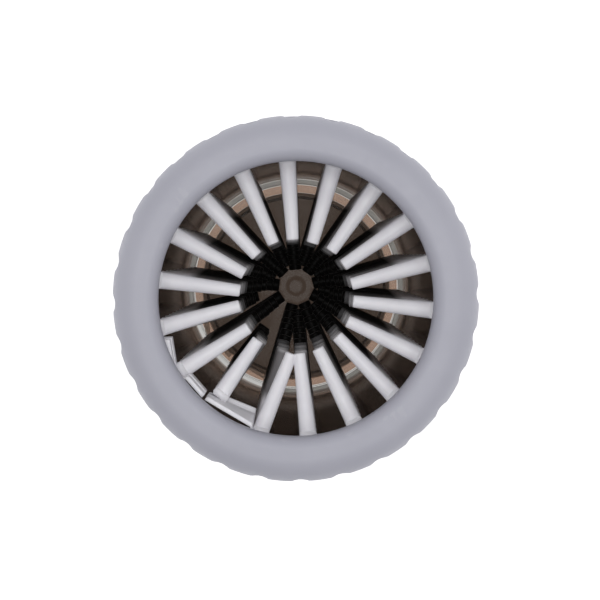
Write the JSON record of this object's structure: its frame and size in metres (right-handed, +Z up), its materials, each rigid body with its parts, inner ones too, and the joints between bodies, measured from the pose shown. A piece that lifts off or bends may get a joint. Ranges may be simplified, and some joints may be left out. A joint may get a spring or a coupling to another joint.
{
  "type": "paw washing cup",
  "caption": "Tapered cup with a fluted screw collar and a lift-out ring of soft bristles pointing inwards, for washing a dog's paw.",
  "frame": {"origin": "centre of the foot, on the surface the cup stands on", "axes": "+Z up along the cup's axis; +Y is the top of the view from above"},
  "size_m": [0.1104, 0.1104, 0.15],
  "materials": {
    "collar_plastic": "fine satin",
    "cup_smoke": "smoked, see-through, polished",
    "brush_silicone": "soft matte silicone",
    "foot_rubber": "matte"
  },
  "bodies": {
    "cup": {"cup": "cup_smoke", "foot_ring": "foot_rubber"},
    "insert": {"brush_top_band": "brush_silicone", "brush_bottom_band": "brush_silicone", "brush_strip_01": "brush_silicone", "brush_strip_02": "brush_silicone", "brush_strip_03": "brush_silicone", "brush_strip_04": "brush_silicone", "brush_strip_05": "brush_silicone", "brush_strip_06": "brush_silicone", "brush_strip_07": "brush_silicone", "brush_strip_08": "brush_silicone", "brush_strip_09": "brush_silicone", "brush_strip_10": "brush_silicone", "brush_strip_11": "brush_silicone", "brush_strip_12": "brush_silicone", "brush_strip_13": "brush_silicone", "brush_strip_14": "brush_silicone", "brush_strip_15": "brush_silicone", "brush_strip_16": "brush_silicone", "brush_strip_17": "brush_silicone", "brush_strip_18": "brush_silicone"},
    "collar": {"collar": "collar_plastic"}
  },
  "joints": [
    {"name": "insert_lift", "type": "slide", "parent": "cup", "child": "insert", "axis": [0, 0, 1], "range_m": [0, 0.005]},
    {"name": "collar_turn", "type": "hinge", "parent": "insert", "child": "collar", "pos_m": [0, 0, 0.13], "axis": [0, 0, 1], "range_deg": [0, 120]}
  ],
  "couplings": [
    {"joint": "insert_lift", "follows": "collar_turn", "m_per_rad": 0.0023873}
  ]
}
